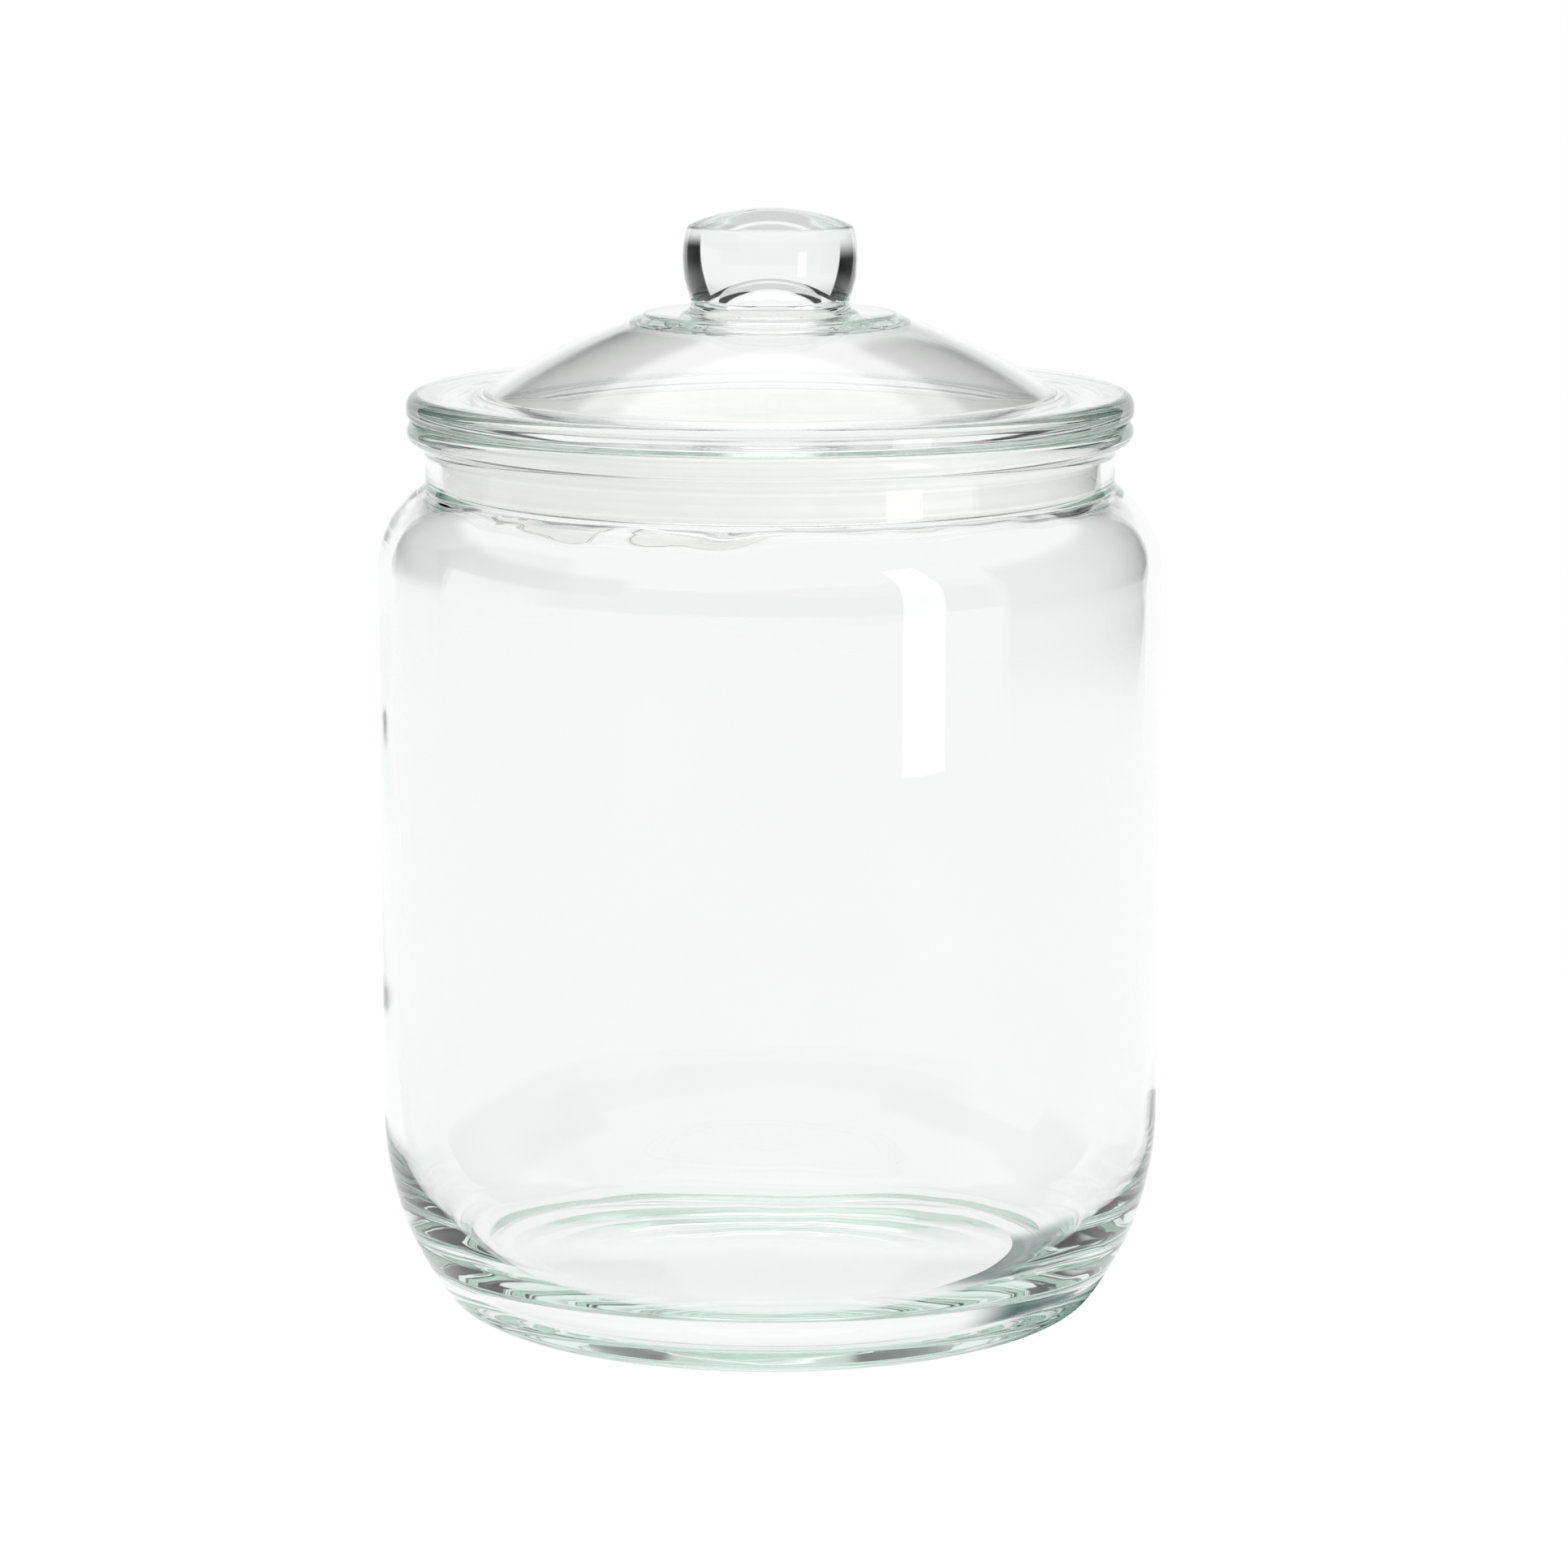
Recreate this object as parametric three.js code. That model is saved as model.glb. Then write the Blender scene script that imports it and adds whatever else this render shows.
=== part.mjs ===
// Round glass storage jar with a push-in glass lid and a soft sealing ring round the lid's spigot.
// Millimetres, +Z up. The origin is on the jar's axis, on the surface that the jar stands on.
// Every piece is turned about Z from an outline of (radius, height) points.
import * as THREE from 'three';

// Jar, outside
const BODY_DIAMETER = 220;
const JAR_HEIGHT = 251.4; // standing surface to the flat of the rim
const FOOT_ROUND = 10; // small round between the standing ring and the heel
const HEEL_ROUND = 85; // long round from the foot up into the wall
const HEEL_HEIGHT = 55; // where the heel runs out into the straight wall
const SHOULDER_ROUND = 26;
const NECK_SETBACK = 13.6; // wall of the body to wall of the neck
const NECK_HEIGHT = 16.8; // root of the neck to the rim
const NECK_ROOT_FILLET = 3;
const BEAD_PROJECTION = 5.1; // rim bead beyond the neck
const BEAD_ROUND = 3;
const BEAD_FILLET = 4;

// Jar, inside and underneath
const WALL = 4.5;
const NECK_WALL = 4.6;
const FLOOR_HEIGHT = 9.5; // standing surface to the inside floor
const INNER_HEEL_WIDTH = 33.5; // edge of the flat floor to the inside wall
const RIM_INNER_ROUND = 1.7;
const NECK_LIP_ROUND = 1.5; // lower edge of the neck's bore
const STANDING_RING_WIDTH = 11;
const PUSH_UP = 3.5; // hollow under the middle of the floor

// Lid and its knob, pressed in one piece
const LID_OVERHANG = 0.1; // lid rim beyond the jar's bead
const BRIM_THICKNESS = 7.3;
const BRIM_WIDTH = 21.6; // lid rim to the foot of the dome
const BRIM_LOWER_ROUND = 2.2;
const BRIM_UPPER_ROUND = 3.5;
const DOME_RISE = 22; // brim to the plateau under the knob
const DOME_ROUND = 190;
const DOME_FOOT_FILLET = 4;
const PLATEAU_DIAMETER = 71;
const PLATEAU_STEP = 0.8; // plateau above the top of the dome
const KNOB_DIAMETER = 48.8;
const KNOB_HEIGHT = 29;
const KNOB_WIDEST = 15; // plateau to the knob's widest place
const KNOB_SIDE_ROUND = 30;
const KNOB_CROWN_ROUND = 56;
const KNOB_EDGE_ROUND = 1.5;
const KNOB_FILLET = 3;
const DOME_WALL = 3.6;
const PLATEAU_WALL = 5;
const CEILING_KNEE = 12; // round between the flat ceiling and the underside of the dome
const CEILING_FILLET = 5; // round between the underside of the dome and the spigot
const DIMPLE_ROUND = 18; // dimple that the press leaves in the foot of the knob, open below
const DIMPLE_RISE = 11; // plateau to the top of the dimple
const DIMPLE_FILLET = 4;
const SPIGOT_DEPTH = 22.4;
const SPIGOT_WALL = 4.5;
const SPIGOT_BEAD = 1.4; // bead at the spigot's foot that holds the ring on
const SPIGOT_BEAD_ROUND = 1;

// Sealing ring: a sleeve on the spigot with lips that press on the neck's bore
const SEAL_SPACE = 4.3; // spigot to the neck's bore
const SLEEVE_WALL = 1.6;
const LIP_COUNT = 3;
const LIP_ROOT = 4;
const LIP_TIP = 1.2;

// Clearances and fineness
const SEAT_GAP = 0.3; // between pieces that rest on each other
const RING_GAP = 0.3; // ring to the spigot, and ring to the bore
const SEGMENTS = 48;
const CHORD_ERROR = 0.12; // widest gap between an arc and its chords

const bodyRadius = BODY_DIAMETER / 2;
const neckRadius = bodyRadius - NECK_SETBACK;
const boreRadius = neckRadius - NECK_WALL;
const beadRadius = neckRadius + BEAD_PROJECTION;
const brimBottom = JAR_HEIGHT + SEAT_GAP;
const spigotRadius = boreRadius - SEAL_SPACE;
const spigotBottom = brimBottom - SPIGOT_DEPTH;

function point(r, z) {
  return new THREE.Vector2(r, z);
}

function circle(r, z, radius) {
  return { r, z, radius };
}

// Direction from the centre of one circle to that of another
function bearing(from, to) {
  return Math.atan2(to.z - from.z, to.r - from.r);
}

// The other leg of a right triangle
function leg(hypotenuse, side) {
  return Math.sqrt(hypotenuse ** 2 - side ** 2);
}

function ellipseArc(c, radiusZ, from, to) {
  const widest = Math.max(c.radius, radiusZ);
  const finest = 2 * Math.acos(1 - Math.min(CHORD_ERROR / widest, 0.5));
  const steps = Math.max(2, Math.ceil(Math.abs(to - from) / finest));
  return new THREE.EllipseCurve(c.r, c.z, c.radius, radiusZ, from, to, to < from).getPoints(steps);
}

function arc(c, from, to) {
  return ellipseArc(c, c.radius, from, to);
}

// Circle on the axis whose cap is so high over a chord of that half width
function capCircle(halfWidth, rise, top) {
  const radius = (halfWidth ** 2 + rise ** 2) / (2 * rise);
  return circle(0, top - radius, radius);
}

// Where two circles cross, on the side to the right of the way from the first to the second
function crossing(a, b) {
  const span = Math.hypot(b.r - a.r, b.z - a.z);
  const along = (span ** 2 + a.radius ** 2 - b.radius ** 2) / (2 * span);
  const aside = leg(a.radius, along);
  const way = point((b.r - a.r) / span, (b.z - a.z) / span);
  return circle(a.r + way.x * along + way.y * aside, a.z + way.y * along - way.x * aside, 0);
}

function turned(name, outline, material) {
  const geometry = new THREE.LatheGeometry(outline, SEGMENTS);
  geometry.rotateX(Math.PI / 2);
  const mesh = new THREE.Mesh(geometry, material);
  mesh.name = name;
  return mesh;
}

function clearGlass() {
  return new THREE.MeshStandardMaterial({ color: 0xe6f0eb, roughness: 0.04, metalness: 0 });
}

function milkySilicone() {
  return new THREE.MeshStandardMaterial({ color: 0xdde2de, roughness: 0.45, metalness: 0 });
}

function jarBody() {
  const heel = circle(bodyRadius - HEEL_ROUND, HEEL_HEIGHT, HEEL_ROUND);
  const footRadius = heel.r + leg(HEEL_ROUND - FOOT_ROUND, HEEL_HEIGHT - FOOT_ROUND);
  const foot = circle(footRadius, FOOT_ROUND, FOOT_ROUND);
  const ringInner = footRadius - STANDING_RING_WIDTH;
  const hollow = capCircle(ringInner, PUSH_UP, PUSH_UP);
  const hollowEdge = circle(ringInner, 0, 0);

  const shoulderR = bodyRadius - SHOULDER_ROUND;
  const root = circle(neckRadius + NECK_ROOT_FILLET, JAR_HEIGHT - NECK_HEIGHT, NECK_ROOT_FILLET);
  const shoulderZ = root.z - leg(SHOULDER_ROUND + NECK_ROOT_FILLET, root.r - shoulderR);
  const shoulder = circle(shoulderR, shoulderZ, SHOULDER_ROUND);

  const bead = circle(beadRadius - BEAD_ROUND, JAR_HEIGHT - BEAD_ROUND, BEAD_ROUND);
  const underR = neckRadius + BEAD_FILLET;
  const under = circle(underR, bead.z - leg(BEAD_ROUND + BEAD_FILLET, underR - bead.r), BEAD_FILLET);
  const rimInner = circle(boreRadius + RIM_INNER_ROUND, JAR_HEIGHT - RIM_INNER_ROUND, RIM_INNER_ROUND);

  const innerShoulder = circle(shoulderR, shoulderZ, SHOULDER_ROUND - WALL);
  const lipR = boreRadius + NECK_LIP_ROUND;
  const lipZ = shoulderZ + leg(innerShoulder.radius + NECK_LIP_ROUND, lipR - shoulderR);
  const lip = circle(lipR, lipZ, NECK_LIP_ROUND);
  const innerHeel = circle(bodyRadius - WALL - INNER_HEEL_WIDTH, HEEL_HEIGHT, INNER_HEEL_WIDTH);

  const outline = [
    ...arc(hollow, Math.PI / 2, bearing(hollow, hollowEdge)),
    ...arc(foot, -Math.PI / 2, bearing(heel, foot)),
    ...arc(heel, bearing(heel, foot), 0).slice(1),
    ...arc(shoulder, 0, bearing(shoulder, root)),
    ...arc(root, bearing(root, shoulder), -Math.PI).slice(1),
    ...arc(under, Math.PI, bearing(under, bead)),
    ...arc(bead, bearing(bead, under), Math.PI / 2).slice(1),
    ...arc(rimInner, Math.PI / 2, Math.PI),
    ...arc(lip, Math.PI, bearing(lip, shoulder) + 2 * Math.PI),
    ...arc(innerShoulder, bearing(shoulder, lip), 0).slice(1),
    ...ellipseArc(innerHeel, HEEL_HEIGHT - FLOOR_HEIGHT, 0, -Math.PI / 2),
    point(0, FLOOR_HEIGHT),
  ];
  return turned('jar_body', outline, clearGlass());
}

function lid() {
  const brimTop = brimBottom + BRIM_THICKNESS;
  const lidRadius = beadRadius + LID_OVERHANG;
  const plateauTop = brimTop + DOME_RISE;
  const plateauRadius = PLATEAU_DIAMETER / 2;

  const domeFoot = circle(lidRadius - BRIM_WIDTH, brimTop, DOME_ROUND);
  const domeTop = circle(plateauRadius, plateauTop - PLATEAU_STEP, DOME_ROUND);
  const dome = { ...crossing(domeTop, domeFoot), radius: DOME_ROUND };

  const spigotInner = spigotRadius - SPIGOT_WALL;
  const ceilingZ = plateauTop - PLATEAU_WALL;
  const under = { ...dome, radius: DOME_ROUND - DOME_WALL };
  const kneeZ = ceilingZ - CEILING_KNEE;
  const kneeR = dome.r + leg(under.radius - CEILING_KNEE, kneeZ - dome.z);
  const knee = circle(kneeR, kneeZ, CEILING_KNEE);
  const cornerR = spigotInner - CEILING_FILLET;
  const cornerZ = dome.z + leg(under.radius - CEILING_FILLET, cornerR - dome.r);
  const corner = circle(cornerR, cornerZ, CEILING_FILLET);
  const dimple = circle(0, plateauTop + DIMPLE_RISE - DIMPLE_ROUND, DIMPLE_ROUND);
  const mouthZ = ceilingZ + DIMPLE_FILLET;
  const mouthR = leg(DIMPLE_ROUND + DIMPLE_FILLET, mouthZ - dimple.z);
  const mouth = circle(mouthR, mouthZ, DIMPLE_FILLET);
  const beadZ = spigotBottom + SPIGOT_BEAD_ROUND;
  const footInner = circle(spigotInner + SPIGOT_BEAD_ROUND, beadZ, SPIGOT_BEAD_ROUND);
  const footBead = circle(spigotRadius + SPIGOT_BEAD - SPIGOT_BEAD_ROUND, beadZ, SPIGOT_BEAD_ROUND);

  const lowerEdge = circle(lidRadius - BRIM_LOWER_ROUND, brimBottom + BRIM_LOWER_ROUND, BRIM_LOWER_ROUND);
  const upperEdge = circle(lidRadius - BRIM_UPPER_ROUND, brimTop - BRIM_UPPER_ROUND, BRIM_UPPER_ROUND);

  const filletZ = brimTop + DOME_FOOT_FILLET;
  const filletR = dome.r + leg(DOME_ROUND + DOME_FOOT_FILLET, filletZ - dome.z);
  const fillet = circle(filletR, filletZ, DOME_FOOT_FILLET);
  const step = circle(plateauRadius - PLATEAU_STEP, plateauTop - PLATEAU_STEP, PLATEAU_STEP);

  const side = circle(KNOB_DIAMETER / 2 - KNOB_SIDE_ROUND, plateauTop + KNOB_WIDEST, KNOB_SIDE_ROUND);
  const crown = circle(0, plateauTop + KNOB_HEIGHT - KNOB_CROWN_ROUND, KNOB_CROWN_ROUND);
  const knobRootZ = plateauTop + KNOB_FILLET;
  const knobRootR = side.r + leg(KNOB_SIDE_ROUND + KNOB_FILLET, knobRootZ - side.z);
  const knobRoot = circle(knobRootR, knobRootZ, KNOB_FILLET);
  const sideInset = { ...side, radius: KNOB_SIDE_ROUND - KNOB_EDGE_ROUND };
  const crownInset = { ...crown, radius: KNOB_CROWN_ROUND - KNOB_EDGE_ROUND };
  const knobEdge = { ...crossing(crownInset, sideInset), radius: KNOB_EDGE_ROUND };

  const outline = [
    ...arc(dimple, Math.PI / 2, bearing(dimple, mouth)),
    ...arc(mouth, bearing(dimple, mouth) + Math.PI, Math.PI * 1.5).slice(1),
    ...arc(knee, Math.PI / 2, bearing(under, knee)),
    ...arc(under, bearing(under, knee), bearing(under, corner)).slice(1),
    ...arc(corner, bearing(under, corner), 0).slice(1),
    ...arc(footInner, Math.PI, Math.PI * 1.5),
    ...arc(footBead, -Math.PI / 2, Math.PI / 2),
    point(spigotRadius, spigotBottom + 2 * SPIGOT_BEAD_ROUND),
    point(spigotRadius, brimBottom),
    ...arc(lowerEdge, -Math.PI / 2, 0),
    ...arc(upperEdge, 0, Math.PI / 2),
    ...arc(fillet, -Math.PI / 2, bearing(fillet, dome)),
    ...arc(dome, bearing(dome, fillet), bearing(dome, domeTop)).slice(1),
    ...arc(step, 0, Math.PI / 2).slice(1),
    ...arc(knobRoot, -Math.PI / 2, bearing(knobRoot, side) - 2 * Math.PI),
    ...arc(side, bearing(side, knobRoot), bearing(side, knobEdge)).slice(1),
    ...arc(knobEdge, bearing(side, knobEdge), bearing(crown, knobEdge)).slice(1),
    ...arc(crown, bearing(crown, knobEdge), Math.PI / 2).slice(1),
  ];
  return turned('lid', outline, clearGlass());
}

function lidSeal() {
  const inner = spigotRadius + RING_GAP;
  const sleeve = inner + SLEEVE_WALL;
  const lipRadius = boreRadius - RING_GAP;
  const bottom = spigotBottom + 2 * SPIGOT_BEAD_ROUND + SEAT_GAP;
  const top = brimBottom - SEAT_GAP;
  const pitch = (top - bottom) / LIP_COUNT;

  const outline = [point(inner, bottom), point(sleeve, bottom)];
  for (let i = 0; i < LIP_COUNT; i += 1) {
    const middle = bottom + (i + 0.5) * pitch;
    outline.push(point(sleeve, middle - LIP_ROOT / 2));
    outline.push(point(lipRadius, middle - LIP_TIP / 2));
    outline.push(point(lipRadius, middle + LIP_TIP / 2));
    outline.push(point(sleeve, middle + LIP_ROOT / 2));
  }
  outline.push(point(sleeve, top), point(inner, top), point(inner, bottom));
  return turned('lid_seal', outline, milkySilicone());
}

const jar = new THREE.Group();
jar.add(jarBody(), lidSeal(), lid());

export default jar;
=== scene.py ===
import math

import bpy
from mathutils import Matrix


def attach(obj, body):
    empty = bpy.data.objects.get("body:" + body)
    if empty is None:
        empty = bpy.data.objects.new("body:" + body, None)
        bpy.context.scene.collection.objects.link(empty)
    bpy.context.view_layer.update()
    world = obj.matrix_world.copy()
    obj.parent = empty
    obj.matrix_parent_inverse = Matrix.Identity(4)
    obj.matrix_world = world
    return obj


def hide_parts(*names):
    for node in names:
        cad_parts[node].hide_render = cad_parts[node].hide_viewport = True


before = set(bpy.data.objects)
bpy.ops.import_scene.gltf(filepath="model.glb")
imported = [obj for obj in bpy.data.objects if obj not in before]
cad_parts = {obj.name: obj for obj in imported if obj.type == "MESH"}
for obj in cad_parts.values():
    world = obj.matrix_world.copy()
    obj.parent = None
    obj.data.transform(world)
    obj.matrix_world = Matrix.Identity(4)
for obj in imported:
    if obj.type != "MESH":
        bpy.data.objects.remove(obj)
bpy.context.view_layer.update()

# Jar. One piece of clear soda-lime glass, blown in a mould: a thick floor inside a standing ring, a
# long round heel, a straight wall, a round shoulder, a short neck and a beaded rim. The mould leaves
# the outside nearly true, and the blowing leaves the inside wavy. Sizes are in mm.
MM = 0.001
TURNS = 192
ANGLE_STEP = 6.0
LENGTH_STEP = 4.0
SAME_POINT = 0.01
CREASE = 40
BODY_RADIUS = 110.0
WALL = 4.5
RING_IN = 74.0
RING_OUT = 85.0
HOLLOW_RISE = 3.5
FOOT_ROUND = 10.0
HEEL_ROUND = 85.0
HEEL_TOP = 55.0
FLOOR_Z = 9.5
FLOOR_RADIUS = 72.0
SHOULDER_Z = 210.03
SHOULDER_ROUND = 26.0
NECK_RADIUS = 96.4
NECK_FILLET = 3.0
BEAD_RADIUS = 101.5
BEAD_ROUND = 3.0
BEAD_FILLET = 4.0
RIM_Z = 251.4
RIM_ROUND = 1.7
BORE_RADIUS = 91.8
BORE_ROUND = 1.5


def bearing(start, end):
    """Direction in degrees from one point of the half section to another."""
    return math.degrees(math.atan2(end[1] - start[1], end[0] - start[0]))


def beside(centre, reach, r):
    """Height of a round's centre that stands at radius r, at that reach above another centre."""
    return centre[1] + math.sqrt(reach ** 2 - (r - centre[0]) ** 2)


def bow(centre, radius, start, end, tall=None):
    """Points along a round of the half section, between two angles; tall makes it an ellipse."""
    high = tall or radius
    sweep = math.radians(end - start)
    steps = max(2, math.ceil(abs(end - start) / ANGLE_STEP), math.ceil(abs(sweep) * high / LENGTH_STEP))
    angles = [math.radians(start) + sweep * i / steps for i in range(steps + 1)]
    return [(centre[0] + radius * math.cos(a), centre[1] + high * math.sin(a)) for a in angles]


def run(start, end):
    """Points along a straight of the half section."""
    steps = max(1, math.ceil(math.dist(start, end) / LENGTH_STEP))
    return [tuple(a + (b - a) * i / steps for a, b in zip(start, end)) for i in range(steps + 1)]


def turn(name, section):
    """Draws a half section point by point and spins it about the jar's axis into a closed skin."""
    bpy.ops.object.select_all(action="DESELECT")
    bpy.ops.mesh.primitive_plane_add(size=MM)
    piece = bpy.context.object
    piece.name = name
    piece.data.name = name
    bpy.ops.object.mode_set(mode="EDIT")
    bpy.ops.mesh.merge(type="CENTER")
    at = (0.0, 0.0)
    for i, (r, z) in enumerate(section):
        move = ((r - at[0]) * MM, 0.0, (z - at[1]) * MM)
        if i == 0:
            bpy.ops.transform.translate(value=move)
        elif math.dist((r, z), at) > SAME_POINT:
            bpy.ops.mesh.extrude_region_move(TRANSFORM_OT_translate={"value": move})
        at = (r, z)
    bpy.ops.mesh.select_all(action="SELECT")
    bpy.ops.mesh.spin(steps=TURNS, angle=2 * math.pi, center=(0, 0, 0), axis=(0, 0, 1))
    bpy.ops.mesh.select_all(action="SELECT")
    bpy.ops.mesh.remove_doubles(threshold=SAME_POINT / 2 * MM)
    bpy.ops.mesh.normals_make_consistent(inside=False)
    bpy.ops.object.mode_set(mode="OBJECT")
    bpy.ops.object.shade_smooth_by_angle(angle=math.radians(CREASE))
    return piece


def ripple(piece, name, share, size, depth, level, flat=1.0, way="NORMAL"):
    """Pushes the skin in and out by clouds of that size, where share gives each point its weight.

    A cloud value of level leaves the skin in place, and way is the direction of the push. A flat under
    1 draws the clouds out along the turn of the jar, as glass does that settles in its mould.
    """
    group = piece.vertex_groups.new(name=name)
    for v in piece.data.vertices:
        weight = share(math.hypot(v.co.x, v.co.y) / MM, v.co.z / MM)
        if weight > 0:
            group.add([v.index], weight, "REPLACE")
    clouds = bpy.data.textures.new(name, "CLOUDS")
    clouds.noise_scale = size * MM
    clouds.noise_depth = 1
    bpy.ops.object.empty_add()
    lay = bpy.context.object
    lay.scale.z = flat
    bpy.context.view_layer.objects.active = piece
    wave = piece.modifiers.new(name, "DISPLACE")
    wave.texture = clouds
    wave.texture_coords = "OBJECT"
    wave.texture_coords_object = lay
    wave.vertex_group = name
    wave.direction = way
    wave.strength = depth * MM
    wave.mid_level = level
    bpy.ops.object.modifier_apply(modifier=name)
    bpy.data.objects.remove(lay)


def ramp(x, low, high):
    """Smooth rise from 0 to 1 between two values."""
    t = min(1.0, max(0.0, (x - low) / (high - low)))
    return t * t * (3 - 2 * t)


def between(z, foot, head):
    """Smooth rise over the two heights of foot and fall over the two heights of head."""
    return ramp(z, *foot) * (1 - ramp(z, *head))


hollow_round = (RING_IN ** 2 + HOLLOW_RISE ** 2) / (2 * HOLLOW_RISE)
hollow = (0.0, HOLLOW_RISE - hollow_round)
foot = (RING_OUT, FOOT_ROUND)
heel = (BODY_RADIUS - HEEL_ROUND, HEEL_TOP)
shoulder = (BODY_RADIUS - SHOULDER_ROUND, SHOULDER_Z)
root_radius = NECK_RADIUS + NECK_FILLET
root = (root_radius, beside(shoulder, SHOULDER_ROUND + NECK_FILLET, root_radius))
bead = (BEAD_RADIUS - BEAD_ROUND, RIM_Z - BEAD_ROUND)
under_bead = NECK_RADIUS + BEAD_FILLET
bead_drop = math.sqrt((BEAD_ROUND + BEAD_FILLET) ** 2 - (under_bead - bead[0]) ** 2)
bead_fillet = (under_bead, bead[1] - bead_drop)
rim_inner = (BORE_RADIUS + RIM_ROUND, RIM_Z - RIM_ROUND)
inner_radius = BODY_RADIUS - WALL
inner_shoulder = SHOULDER_ROUND - WALL
lip_radius = BORE_RADIUS + BORE_ROUND
lip = (lip_radius, beside(shoulder, inner_shoulder + BORE_ROUND, lip_radius))
inner_heel = (FLOOR_RADIUS, HEEL_TOP)
heel_wide = inner_radius - FLOOR_RADIUS
heel_tall = HEEL_TOP - FLOOR_Z
jar_section = (
    bow(hollow, hollow_round, 90, bearing(hollow, (RING_IN, 0.0)))
    + run((RING_IN, 0.0), (RING_OUT, 0.0))
    + bow(foot, FOOT_ROUND, -90, bearing(heel, foot))
    + bow(heel, HEEL_ROUND, bearing(heel, foot), 0)
    + run((BODY_RADIUS, HEEL_TOP), (BODY_RADIUS, SHOULDER_Z))
    + bow(shoulder, SHOULDER_ROUND, 0, bearing(shoulder, root))
    + bow(root, NECK_FILLET, bearing(shoulder, root) + 180, 180)
    + bow(bead_fillet, BEAD_FILLET, 180, bearing(bead_fillet, bead))
    + bow(bead, BEAD_ROUND, bearing(bead_fillet, bead) - 180, 90)
    + bow(rim_inner, RIM_ROUND, 90, 180)
    + run((BORE_RADIUS, rim_inner[1]), (BORE_RADIUS, lip[1]))
    + bow(lip, BORE_ROUND, 180, bearing(shoulder, lip) + 180)
    + bow(shoulder, inner_shoulder, bearing(shoulder, lip), 0)
    + run((inner_radius, SHOULDER_Z), (inner_radius, HEEL_TOP))
    + bow(inner_heel, heel_wide, 0, -90, tall=heel_tall)
    + run((FLOOR_RADIUS, FLOOR_Z), (0.0, FLOOR_Z))
)
jar_body = turn("jar_glass", jar_section)
FLOOR_SHARE = 0.3
BLOWN_FOOT = (9.6, 24)
BLOWN_HEAD = (222, 231)
SETTLED_FOOT = (12, 24)
SETTLED_HEAD = (60, 110)
MOULD_FOOT = (5, 40)
MOULD_HEAD = (205, 232)
LIP_FOOT = (224, 230)
LIP_HEAD = (232, 238)


def inside(r, z):
    """Weight of the blown inside: a share on the floor, full on the wall, none from the neck up."""
    if r > BODY_RADIUS - 1 or z < FLOOR_Z - 0.1 or z > BLOWN_HEAD[1]:
        return 0.0
    if z < HEEL_TOP and r > FLOOR_RADIUS:
        reach = math.hypot((r - FLOOR_RADIUS) / heel_wide, (z - HEEL_TOP) / heel_tall)
        if reach > 1.02:
            return 0.0
    grown = FLOOR_SHARE + (1 - FLOOR_SHARE) * ramp(z, *BLOWN_FOOT)
    return grown * (1 - ramp(z, *BLOWN_HEAD))


def settled(r, z):
    """Weight of the inner heel, where the glass ran down before it set."""
    return inside(r, z) * between(z, SETTLED_FOOT, SETTLED_HEAD)


def outside(r, z):
    """Weight of the outer skin from above the foot to the neck."""
    return between(z, MOULD_FOOT, MOULD_HEAD) if r > inner_radius + 1 else 0.0


def lip_edge(r, z):
    """Weight of the inner edge under the neck, where the bore opens into the shoulder."""
    if r > BORE_RADIUS + 2 and math.dist((r, z), shoulder) > SHOULDER_ROUND - WALL / 2:
        return 0.0
    return between(z, LIP_FOOT, LIP_HEAD)


ripple(jar_body, "blown_inside", inside, size=60.0, depth=1.0, level=0.5)
ripple(jar_body, "settled_heel", settled, size=30.0, depth=0.25, level=0.5, flat=0.3)
ripple(jar_body, "mould_outside", outside, size=70.0, depth=0.25, level=1.0)
ripple(jar_body, "uneven_lip", lip_edge, size=26.0, depth=2.6, level=0.5, way="Z")


def linear(colour):
    """Scene linear colour of an sRGB hex value."""
    parts = [int(colour[i:i + 2], 16) / 255 for i in (1, 3, 5)]
    return [p / 12.92 if p <= 0.04045 else ((p + 0.055) / 1.055) ** 2.4 for p in parts] + [1.0]


def add(tree, kind, inputs={}, **settings):
    """Adds a node with its settings; inputs gives each socket a value or another node's output."""
    made = tree.nodes.new(kind)
    for key, value in settings.items():
        setattr(made, key, value)
    for socket, value in inputs.items():
        if isinstance(value, bpy.types.NodeSocket):
            tree.links.new(value, made.inputs[socket])
        else:
            made.inputs[socket].default_value = value
    return made


# Soda-lime glass, fire-polished: clear, glossy, faintly green only through a long way of glass. Its
# skin carries shallow waves about 25 mm long and a haze of wiping marks that moves the gloss a little.
GLASS_WAVE = 25
GLASS_HAZE = 60
GLASS_IOR = 1.52
GLASS_CLEAR = "#FBFBFB"
GLASS_SHADOW = "#F2F6F4"
GLASS_GREEN = "#A9DCCB"
GREEN_PER_METRE = 2.1
glass = bpy.data.materials.new("soda_lime_glass")
glass.use_nodes = True
tree = glass.node_tree
tree.nodes.clear()
place = add(tree, "ShaderNodeTexCoord").outputs["Object"]
waves = add(tree, "ShaderNodeTexNoise", {"Vector": place, "Scale": 1 / (GLASS_WAVE * MM), "Detail": 2.0})
haze = add(tree, "ShaderNodeTexNoise", {"Vector": place, "Scale": 1 / (GLASS_HAZE * MM), "Detail": 4.0})
gloss = add(tree, "ShaderNodeMapRange", {"Value": haze.outputs["Fac"], "To Min": 0.0, "To Max": 0.02})
skin = add(
    tree, "ShaderNodeBump",
    {"Height": waves.outputs["Fac"], "Strength": 0.15, "Distance": 0.1 * MM},
)
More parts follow.
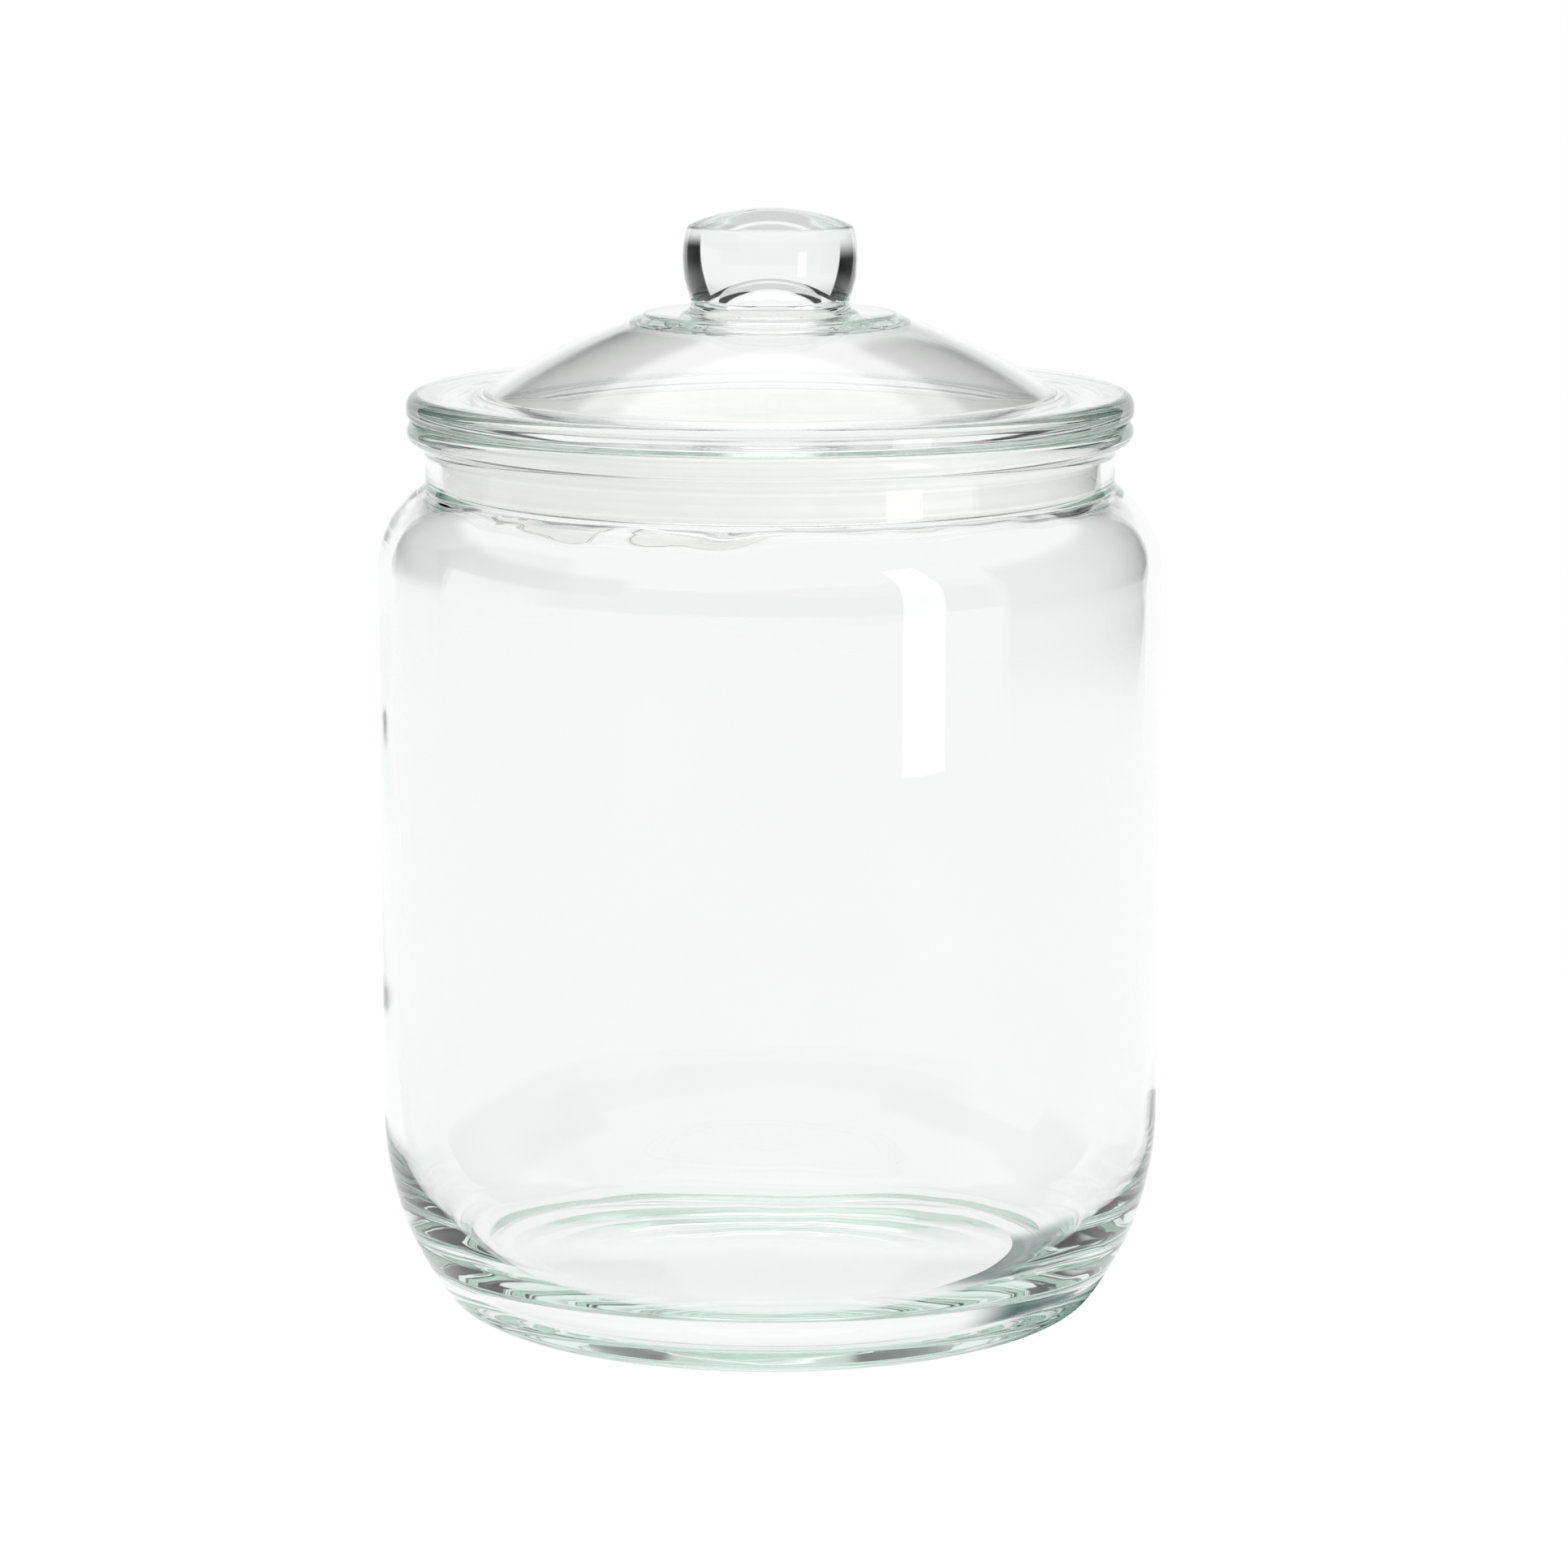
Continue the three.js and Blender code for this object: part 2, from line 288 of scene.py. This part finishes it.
clear = add(
    tree, "ShaderNodeBsdfPrincipled",
    {
        "Base Color": linear(GLASS_CLEAR), "IOR": GLASS_IOR, "Transmission Weight": 1.0,
        "Roughness": gloss.outputs["Result"], "Normal": skin.outputs["Normal"],
    },
)
shade = add(tree, "ShaderNodeBsdfTransparent", {"Color": linear(GLASS_SHADOW)})
ray = add(tree, "ShaderNodeLightPath")
both = add(
    tree, "ShaderNodeMixShader",
    {0: ray.outputs["Is Shadow Ray"], 1: clear.outputs["BSDF"], 2: shade.outputs["BSDF"]},
)
tint = add(
    tree, "ShaderNodeVolumeAbsorption",
    {"Color": linear(GLASS_GREEN), "Density": GREEN_PER_METRE},
)
add(tree, "ShaderNodeOutputMaterial", {"Surface": both.outputs["Shader"], "Volume": tint.outputs["Volume"]})
jar_body.data.materials.append(glass)
jar_body.visible_diffuse = False
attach(jar_body, "jar")
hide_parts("jar_body")

# Lid seal. A soft ring moulded in milky silicone: a sleeve that grips the lid's spigot, with three
# lips turned up towards the neck's bore, as they bend when the lid goes in.
SLEEVE_IN = 87.8
SLEEVE_OUT = 89.4
SLEEVE_EDGE = 0.4
SEAL_LOW = 231.6
SEAL_HIGH = 251.4
LIPS = 3
LIP_PITCH = 6.6
LIP_REACH = 91.5
LIP_RISE = 2.6
TIP_ROUND = 0.6
TIP_ARC = (-50, 110)
ROOT_UNDER = (0.15, -0.6)
ROOT_OVER = (0.2, 3.9)
seal_section = [(SLEEVE_IN, SEAL_HIGH), (SLEEVE_IN, SEAL_LOW)]
for i in range(LIPS):
    low = SEAL_LOW + LIP_PITCH * i
    tip = (LIP_REACH - TIP_ROUND, low + LIP_RISE)
    if i == 0:
        seal_section += [(SLEEVE_OUT, low)]
    else:
        seal_section += [(SLEEVE_OUT, low + ROOT_UNDER[1]), (SLEEVE_OUT + ROOT_UNDER[0], low)]
    seal_section += bow(tip, TIP_ROUND, *TIP_ARC)
    seal_section += [(SLEEVE_OUT + ROOT_OVER[0], low + ROOT_OVER[1])]
seal_section += [(SLEEVE_OUT, SEAL_HIGH - SLEEVE_EDGE), (SLEEVE_OUT - SLEEVE_EDGE, SEAL_HIGH)]
seal_section += [(SLEEVE_IN, SEAL_HIGH)]
lid_seal = turn("seal_ring", seal_section)

# Moulded silicone, unpigmented: milky, satin, a little cloudy, with a fine grain from its mould.
MILK_LIGHT = "#FCFCFA"
MILK_DULL = "#F3F4F1"
MILK_CLOUD = 14
MOULD_GRAIN = 1.2
SILICONE_IOR = 1.41
silicone = bpy.data.materials.new("milky_silicone")
silicone.use_nodes = True
tree = silicone.node_tree
tree.nodes.clear()
place = add(tree, "ShaderNodeTexCoord").outputs["Object"]
cloudy = add(tree, "ShaderNodeTexNoise", {"Vector": place, "Scale": 1 / (MILK_CLOUD * MM), "Detail": 3.0})
milk = add(
    tree, "ShaderNodeMix",
    {0: cloudy.outputs["Fac"], 6: linear(MILK_LIGHT), 7: linear(MILK_DULL)},
    data_type="RGBA",
)
grain = add(tree, "ShaderNodeTexNoise", {"Vector": place, "Scale": 1 / (MOULD_GRAIN * MM), "Detail": 2.0})
satin = add(tree, "ShaderNodeMapRange", {"Value": grain.outputs["Fac"], "To Min": 0.38, "To Max": 0.5})
pebble = add(
    tree, "ShaderNodeBump",
    {"Height": grain.outputs["Fac"], "Strength": 0.1, "Distance": 0.05 * MM},
)
soft_milk = add(
    tree, "ShaderNodeBsdfPrincipled",
    {
        "Base Color": milk.outputs[2], "Roughness": satin.outputs["Result"],
        "Normal": pebble.outputs["Normal"], "IOR": SILICONE_IOR, "Transmission Weight": 0.08,
    },
)
add(tree, "ShaderNodeOutputMaterial", {"Surface": soft_milk.outputs["BSDF"]})
lid_seal.data.materials.append(silicone)
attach(lid_seal, "seal")
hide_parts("lid_seal")

# Lid. Pressed in one piece of the same glass: a brim that sits on the rim, a shallow dome of even
# thickness, a low plateau, and a barrel knob into whose foot the press leaves a dimple from below.
# Underneath, a spigot goes into the neck and carries the ring.
LID_RADIUS = 101.6
BRIM_LOW = 251.7
BRIM_TOP = 259.0
BRIM_LOWER_ROUND = 2.2
BRIM_UPPER_ROUND = 3.5
DOME_FOOT = 80.0
DOME_ROUND = 190.0
DOME_WALL = 3.6
FOOT_FILLET = 4.0
PLATEAU_TOP = 281.0
PLATEAU_RADIUS = 35.5
PLATEAU_STEP = 0.8
PLATEAU_WALL = 5.0
KNOB_RADIUS = 24.4
KNOB_TOP = 310.0
KNOB_BELLY = 15.0
KNOB_SIDE = 30.0
KNOB_CROWN = 56.0
KNOB_EDGE = 1.5
KNOB_FILLET = 3.0
KNEE_ROUND = 12.0
CORNER_FILLET = 5.0
DIMPLE_ROUND = 18.0
DIMPLE_RISE = 11.0
DIMPLE_FILLET = 4.0
SPIGOT_OUT = 87.5
SPIGOT_IN = 83.0
SPIGOT_LOW = 229.3
TOE_ROUND = 1.0
TOE_BEAD = 0.4


def meeting(a, ra, b, rb):
    """The two points in which two rounds of the half section meet."""
    gap = math.dist(a, b)
    along = (ra ** 2 - rb ** 2 + gap ** 2) / (2 * gap)
    off = math.sqrt(ra ** 2 - along ** 2)
    ur, uz = (b[0] - a[0]) / gap, (b[1] - a[1]) / gap
    first = (a[0] + along * ur - off * uz, a[1] + along * uz + off * ur)
    second = (a[0] + along * ur + off * uz, a[1] + along * uz - off * ur)
    return first, second


def outward(centre, reach, z):
    """Radius of a round's centre that stands at height z, at that reach out from another centre."""
    return centre[0] + math.sqrt(reach ** 2 - (z - centre[1]) ** 2)


dome_head = (PLATEAU_RADIUS, PLATEAU_TOP - PLATEAU_STEP)
dome = min(meeting((DOME_FOOT, BRIM_TOP), DOME_ROUND, dome_head, DOME_ROUND), key=lambda p: p[1])
under = DOME_ROUND - DOME_WALL
ceiling = PLATEAU_TOP - PLATEAU_WALL
dimple = (0.0, PLATEAU_TOP + DIMPLE_RISE - DIMPLE_ROUND)
mouth_z = ceiling + DIMPLE_FILLET
mouth = (outward(dimple, DIMPLE_ROUND + DIMPLE_FILLET, mouth_z), mouth_z)
knee_z = ceiling - KNEE_ROUND
knee = (outward(dome, under - KNEE_ROUND, knee_z), knee_z)
corner_radius = SPIGOT_IN - CORNER_FILLET
corner = (corner_radius, beside(dome, under - CORNER_FILLET, corner_radius))
toe_in = (SPIGOT_IN + TOE_ROUND, SPIGOT_LOW + TOE_ROUND)
toe_out = (SPIGOT_OUT + TOE_BEAD, SPIGOT_LOW + TOE_ROUND)
lower_edge = (LID_RADIUS - BRIM_LOWER_ROUND, BRIM_LOW + BRIM_LOWER_ROUND)
upper_edge = (LID_RADIUS - BRIM_UPPER_ROUND, BRIM_TOP - BRIM_UPPER_ROUND)
foot_z = BRIM_TOP + FOOT_FILLET
dome_foot = (outward(dome, DOME_ROUND + FOOT_FILLET, foot_z), foot_z)
step = (PLATEAU_RADIUS - PLATEAU_STEP, PLATEAU_TOP - PLATEAU_STEP)
side = (KNOB_RADIUS - KNOB_SIDE, PLATEAU_TOP + KNOB_BELLY)
crown = (0.0, KNOB_TOP - KNOB_CROWN)
knob_foot_z = PLATEAU_TOP + KNOB_FILLET
knob_root = (outward(side, KNOB_SIDE + KNOB_FILLET, knob_foot_z), knob_foot_z)
knob_edge = max(meeting(crown, KNOB_CROWN - KNOB_EDGE, side, KNOB_SIDE - KNOB_EDGE), key=lambda p: p[1])
lid_section = (
    bow(dimple, DIMPLE_ROUND, 90, bearing(dimple, mouth))
    + bow(mouth, DIMPLE_FILLET, bearing(mouth, dimple), -90)
    + run((mouth[0], ceiling), (knee[0], ceiling))
    + bow(knee, KNEE_ROUND, 90, bearing(dome, knee))
    + bow(dome, under, bearing(dome, knee), bearing(dome, corner))
    + bow(corner, CORNER_FILLET, bearing(dome, corner), 0)
    + run((SPIGOT_IN, corner[1]), (SPIGOT_IN, toe_in[1]))
    + bow(toe_in, TOE_ROUND, 180, 270)
    + bow(toe_out, TOE_ROUND, -90, 90)
    + run((SPIGOT_OUT, SPIGOT_LOW + 2 * TOE_ROUND), (SPIGOT_OUT, BRIM_LOW))
    + run((SPIGOT_OUT, BRIM_LOW), (lower_edge[0], BRIM_LOW))
    + bow(lower_edge, BRIM_LOWER_ROUND, -90, 0)
    + bow(upper_edge, BRIM_UPPER_ROUND, 0, 90)
    + run((upper_edge[0], BRIM_TOP), (dome_foot[0], BRIM_TOP))
    + bow(dome_foot, FOOT_FILLET, -90, bearing(dome_foot, dome))
    + bow(dome, DOME_ROUND, bearing(dome, dome_foot), bearing(dome, dome_head))
    + bow(step, PLATEAU_STEP, 0, 90)
    + bow(knob_root, KNOB_FILLET, -90, bearing(knob_root, side) - 360)
    + bow(side, KNOB_SIDE, bearing(side, knob_root), bearing(side, knob_edge))
    + bow(knob_edge, KNOB_EDGE, bearing(side, knob_edge), bearing(crown, knob_edge))
    + bow(crown, KNOB_CROWN, bearing(crown, knob_edge), 90)
)
lid = turn("lid_glass", lid_section)
lid.data.materials.append(glass)
lid.visible_diffuse = False
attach(lid, "lid")
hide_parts("lid")

# Studio floor. A plain white sheet that the jar stands on. It shows as white to the eye and through
# the glass, and the matt share of it takes the jar's soft shadow. Studio sizes are in metres.
SHEET_RADIUS = 1.3
SHEET_DROP = 0.0002
SHEET_MATT = (0.3, 0.3, 0.3, 1.0)
SHEET_GLOW = 0.7
WHITE = (1.0, 1.0, 1.0, 1.0)
bpy.ops.object.select_all(action="DESELECT")
bpy.ops.mesh.primitive_circle_add(
    vertices=96, radius=SHEET_RADIUS, fill_type="NGON", location=(0, 0, -SHEET_DROP),
)
floor = bpy.context.object
floor.name = "studio_floor"
paper = bpy.data.materials.new("white_paper")
paper.use_nodes = True
tree = paper.node_tree
tree.nodes.clear()
matt = add(tree, "ShaderNodeBsdfDiffuse", {"Color": SHEET_MATT})
glow = add(tree, "ShaderNodeEmission", {"Color": WHITE, "Strength": SHEET_GLOW})
sheet = add(tree, "ShaderNodeAddShader", {0: matt.outputs["BSDF"], 1: glow.outputs["Emission"]})
add(tree, "ShaderNodeOutputMaterial", {"Surface": sheet.outputs["Shader"]})
floor.data.materials.append(paper)

# Studio cards. Curved boards round the jar that only the glass sees, as a photographer stands them
# beside the frame so that clear edges get a line. Their edges fade out, as felt seen out of focus does.
# The last board is painted shadow rather than a card: a dark green sheet under the jar's right heel.
BOARD_STEPS = 24


def card(name, span, foot, head, level, soft, fade=(0.0, 0.0), lean=(0.0, 0.0), colour="#FFFFFF"):
    """A board that spans two bearings, in degrees to the right of straight behind the jar.

    Foot and head are its lower and upper edge, each as reach and height, and fade is how far each blurs.
    Soft is how many degrees each upright edge blurs, and lean how many it is cut back at the board's foot.
    """
    start, end = span
    bpy.ops.object.select_all(action="DESELECT")
    bpy.ops.mesh.primitive_plane_add(size=MM)
    board = bpy.context.object
    board.name = name
    bpy.ops.object.mode_set(mode="EDIT")
    bpy.ops.mesh.merge(type="CENTER")
    out = (math.sin(math.radians(start)), math.cos(math.radians(start)))
    bpy.ops.transform.translate(value=(foot[0] * out[0], foot[0] * out[1], foot[1]))
    rise = ((head[0] - foot[0]) * out[0], (head[0] - foot[0]) * out[1], head[1] - foot[1])
    bpy.ops.mesh.extrude_region_move(TRANSFORM_OT_translate={"value": rise})
    bpy.ops.mesh.select_all(action="SELECT")
    sweep = math.radians(end - start)
    bpy.ops.mesh.spin(steps=BOARD_STEPS, angle=sweep, center=(0, 0, 0), axis=(0, 0, 1))
    bpy.ops.object.mode_set(mode="OBJECT")
    board.visible_camera = False
    board.visible_diffuse = False
    board.visible_shadow = False
    felt = bpy.data.materials.new(name)
    felt.use_nodes = True
    tree = felt.node_tree
    tree.nodes.clear()
    place = add(tree, "ShaderNodeTexCoord").outputs["Object"]
    axes = add(tree, "ShaderNodeSeparateXYZ", {0: place}).outputs
    middle = math.radians((start + end) / 2)
    ahead = add(
        tree, "ShaderNodeVectorRotate", {"Vector": place, "Angle": middle}, rotation_type="Z_AXIS",
    )
    spread = add(tree, "ShaderNodeSeparateXYZ", {0: ahead.outputs[0]}).outputs
    around = add(tree, "ShaderNodeMath", {0: spread["X"], 1: spread["Y"]}, operation="ARCTAN2").outputs[0]
    half = math.radians((end - start) / 2)
    edges = []
    for sign, cut in ((1, lean[0]), (-1, lean[1])):
        back = add(
            tree, "ShaderNodeMapRange",
            {
                "Value": axes["Z"], "From Min": foot[1], "From Max": head[1],
                "To Min": math.radians(cut), "To Max": 0.0,
            },
        )
        inward = add(
            tree, "ShaderNodeMath",
            {0: around, 1: sign, 2: half}, operation="MULTIPLY_ADD",
        )
        past = add(tree, "ShaderNodeMath", {0: inward.outputs[0], 1: back.outputs[0]}, operation="SUBTRACT")
        edges.append((past.outputs[0], 0.0, math.radians(soft)))
    if fade[0]:
        edges.append((axes["Z"], foot[1], foot[1] + fade[0]))
    if fade[1]:
        edges.append((axes["Z"], head[1], head[1] - fade[1]))
    cover = 1.0
    for value, bare, full in edges:
        edge = add(
            tree, "ShaderNodeMapRange", {"Value": value, "From Min": bare, "From Max": full},
            interpolation_type="SMOOTHSTEP",
        )
        cover = add(tree, "ShaderNodeMath", {0: edge.outputs[0], 1: cover}, operation="MULTIPLY").outputs[0]
    open_air = add(tree, "ShaderNodeBsdfTransparent")
    glow = add(tree, "ShaderNodeEmission", {"Color": linear(colour), "Strength": level})
    cloth = add(tree, "ShaderNodeMixShader", {0: cover, 1: open_air.outputs[0], 2: glow.outputs[0]})
    add(tree, "ShaderNodeOutputMaterial", {"Surface": cloth.outputs["Shader"]})
    board.data.materials.append(felt)


card(
    "dark_card_right", span=(28, 112), foot=(0.95, 0.0), head=(0.95, 0.9), level=0.0,
    soft=2.0, fade=(0.15, 0.2), lean=(15, 0),
)
card(
    "dark_card_left", span=(-76, -28), foot=(0.95, 0.06), head=(0.95, 0.9), level=0.0,
    soft=2.0, fade=(0.2, 0.2), lean=(0, 14),
)
card(
    "dark_flag_left", span=(-140, -66), foot=(1.1, 0.42), head=(1.1, 0.95), level=0.0,
    soft=6.0, fade=(0.06, 0.2),
)
card(
    "dark_header_left", span=(-42, -10), foot=(1.3, 0.64), head=(1.3, 1.6), level=0.0,
    soft=3.0, fade=(0.1, 0.2),
)
card(
    "dark_header_right", span=(13, 42), foot=(1.3, 0.64), head=(1.3, 1.6), level=0.0,
    soft=3.0, fade=(0.1, 0.2),
)
card(
    "dim_header", span=(-40, 40), foot=(1.4, 0.4), head=(1.4, 1.6), level=0.7,
    soft=6.0, fade=(0.25, 0.2),
)
card(
    "room_behind_camera", span=(104, 254), foot=(2.6, 0.05), head=(2.6, 1.5), level=0.4,
    soft=12.0, fade=(0.05, 0.3),
)
card(
    "overhead_softbox", span=(-45, 45), foot=(0.85, 1.32), head=(0.25, 1.42), level=1.9,
    soft=10.0, fade=(0.02, 0.02),
)
# Painted shadow: a sheet glowing dark green on the floor under the jar's right heel, seen only through the
# glass, stands for the shade under the heel where it meets the floor.
card(
    "painted_heel_shadow", span=(76, 142), foot=(0.072, -0.0001), head=(0.1, -0.0001), level=1.0,
    soft=16.0, colour="#005045",
)

# Studio lamps. One upright strip softbox in front to the right, in two boxes, and an even white room.
# The upper box is flagged off the lid, which would mirror it at a flat angle and lose its edge in white.
STRIP_FOOT = 0.045
STRIP_JOINT = 0.405
STRIP_HEAD = 0.925
STRIP_WIDTH = 0.175
STRIP_REACH = 0.82
STRIP_BEARING = math.radians(42)
STRIP_WATTS_PER_METRE = 1.3 / 0.88
BOUNCES = 64
lit_from_above = bpy.data.collections.new("lit_from_above")
for lit in (jar_body, lid_seal, floor):
    lit_from_above.objects.link(lit)
for name, low, high in (
    ("strip_softbox", STRIP_FOOT, STRIP_JOINT),
    ("upper_strip_softbox", STRIP_JOINT, STRIP_HEAD),
):
    bpy.ops.object.light_add(type="AREA", location=(0.0, 0.0, 0.0))
    strip = bpy.context.object
    strip.name = name
    strip.data.shape = "RECTANGLE"
    strip.data.size = STRIP_WIDTH
    strip.data.size_y = high - low
    strip.data.energy = STRIP_WATTS_PER_METRE * (high - low)
    across = STRIP_REACH * math.sin(STRIP_BEARING)
    towards = STRIP_REACH * math.cos(STRIP_BEARING)
    strip.location = (across, -towards, (low + high) / 2)
    strip.rotation_euler = (math.radians(90), 0.0, STRIP_BEARING)
    strip.visible_camera = False
    strip.visible_transmission = False
strip.light_linking.receiver_collection = lit_from_above
room = bpy.data.worlds.new("white_room")
room.use_nodes = True
room.node_tree.nodes["Background"].inputs["Color"].default_value = WHITE
room.node_tree.nodes["Background"].inputs["Strength"].default_value = 1.0
bpy.context.scene.world = room
bpy.context.scene.cycles.max_bounces = BOUNCES
bpy.context.scene.cycles.transmission_bounces = BOUNCES
bpy.context.scene.cycles.glossy_bounces = BOUNCES
bpy.context.scene.view_settings.view_transform = "Standard"

# Camera. A long lens a little above the lid, tilted down at it, as in the photograph. The lens is
# shifted sideways by part of the frame's width, so that the jar stands a little left of the middle.
CAMERA_PLACE = (0.0, -1.56, 0.422)
CAMERA_TILT = 9.984
CAMERA_LENS = 128.61
FRAME_WIDTH = 1932
FRAME_SHIFT = 17
bpy.ops.object.camera_add(location=CAMERA_PLACE, rotation=(math.radians(90 - CAMERA_TILT), 0.0, 0.0))
camera = bpy.context.object
camera.data.sensor_width = 36.0
camera.data.lens = CAMERA_LENS
camera.data.shift_x = FRAME_SHIFT / FRAME_WIDTH
camera.data.clip_end = 50.0
bpy.context.scene.camera = camera
